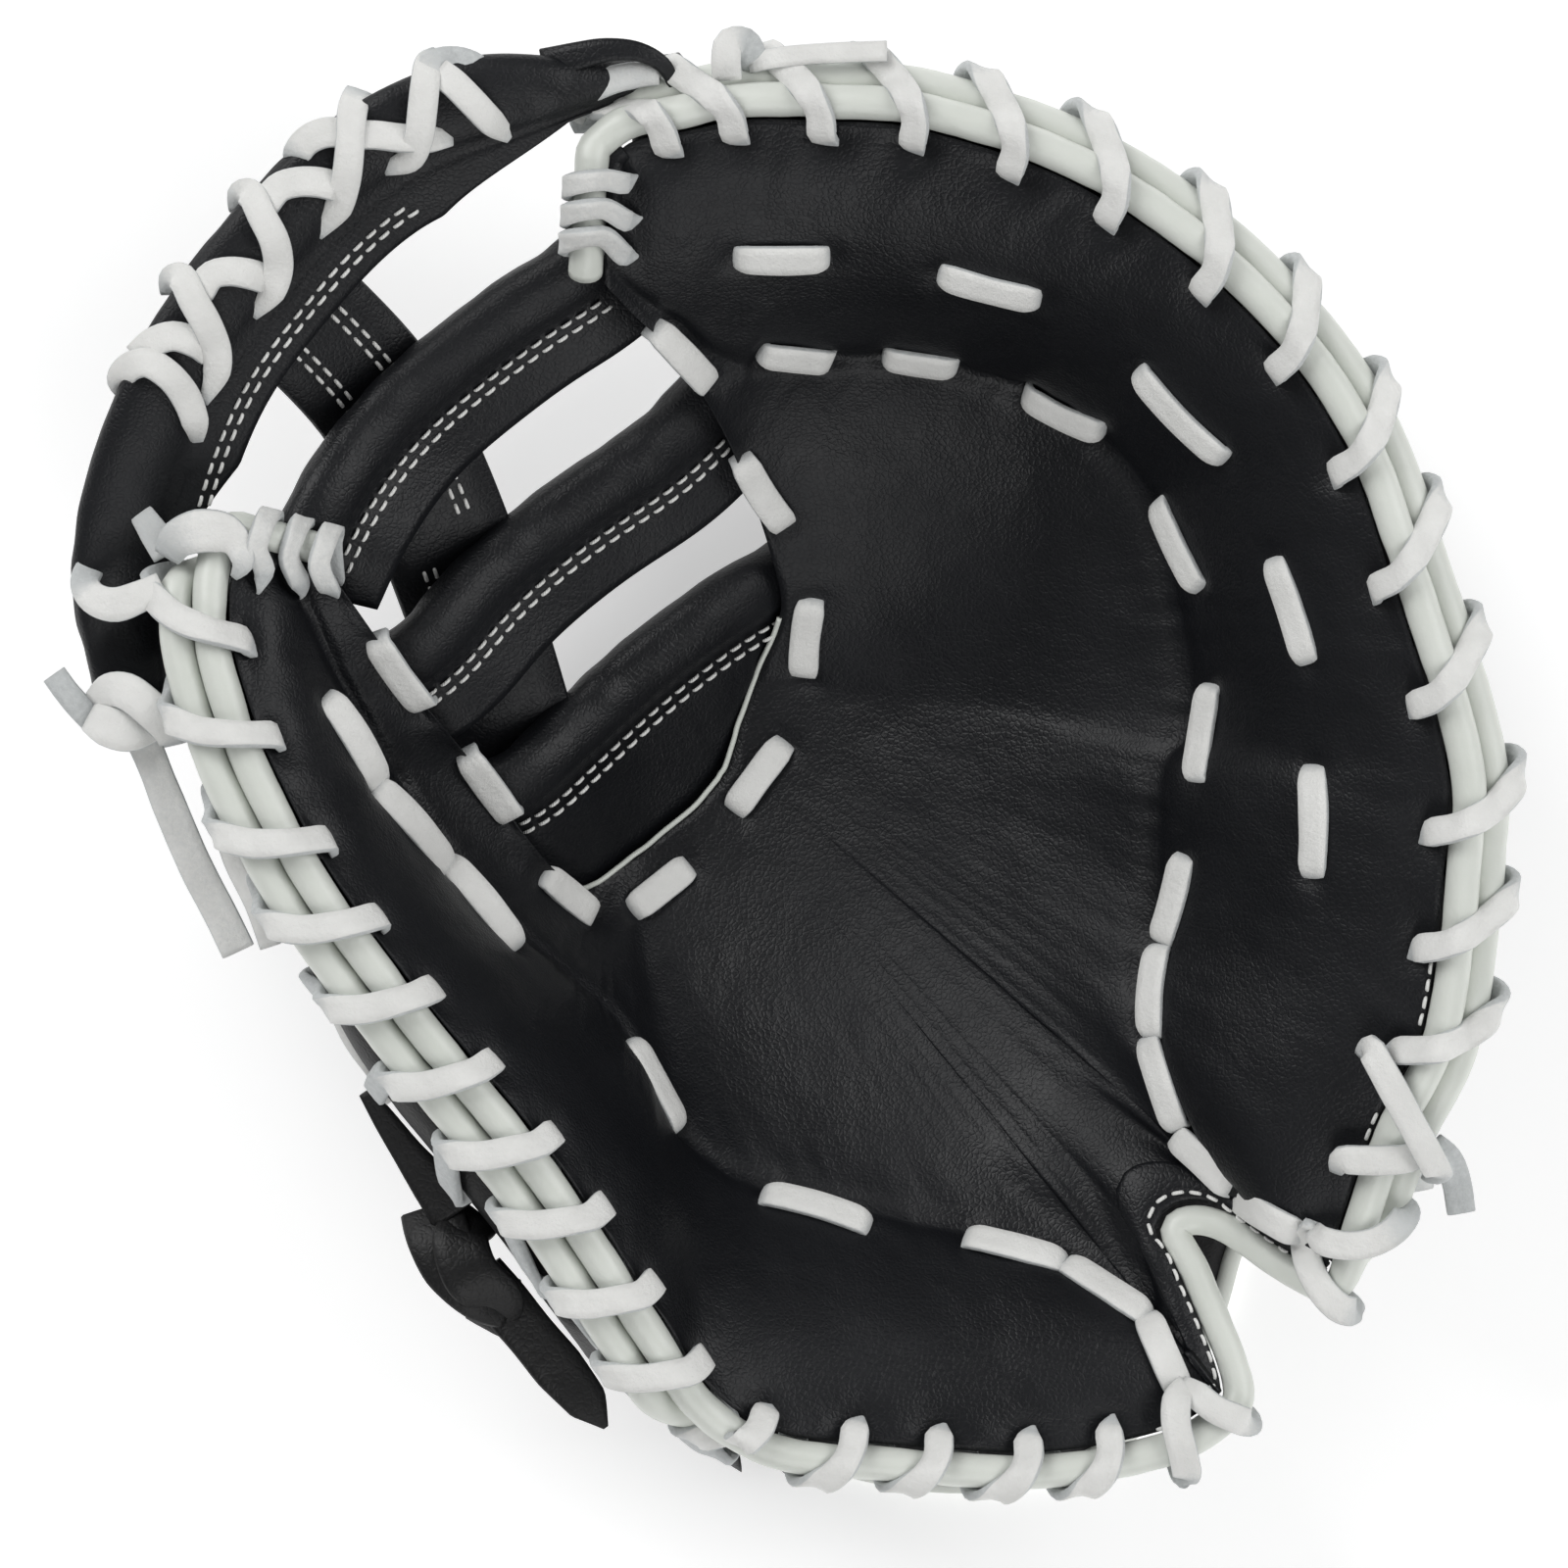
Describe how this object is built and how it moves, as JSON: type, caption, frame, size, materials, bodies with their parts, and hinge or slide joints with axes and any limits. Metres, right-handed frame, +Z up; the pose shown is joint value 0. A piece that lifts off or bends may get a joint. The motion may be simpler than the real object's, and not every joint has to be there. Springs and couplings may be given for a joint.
{
  "type": "first baseman mitt",
  "caption": "Open first baseman mitt for the left hand, lying pocket up: padded scoop-shaped palm, barred web, piped and laced rim, hollow back for the hand.",
  "frame": {"origin": "middle of the mitt's outline on the surface it lies on", "axes": "+Z up out of the pocket, +Y from the heel's side to the fingertip, +X from the thumb's side to the finger pad"},
  "size_m": [0.2966, 0.2972, 0.1017],
  "materials": {
    "leather": "smooth black leather with a soft sheen",
    "back_leather": "matt black leather",
    "piping": "smooth pale greenish white piping with a soft gloss",
    "lace": "white lacing leather with a grey suede underside"
  },
  "bodies": {
    "root": {"palm": "leather", "palm_piping": "piping", "thumb_piping": "piping", "finger_piping": "piping", "thumb_back": "back_leather", "finger_back": "back_leather", "thumb_lace": "lace", "finger_lace": "lace", "web_top_bar": "leather", "web_upper_bar": "leather", "web_lower_bar": "leather", "web_base": "leather", "web_spine": "leather", "top_bar_lace": "lace", "thumb_crease_lace": "lace", "heel_crease_lace": "lace", "finger_crease_lace": "lace", "web_tie": "lace", "heel_tie": "lace", "thumb_tie": "back_leather", "wrist_strap": "back_leather", "strap_binding": "piping"}
  },
  "joints": []
}
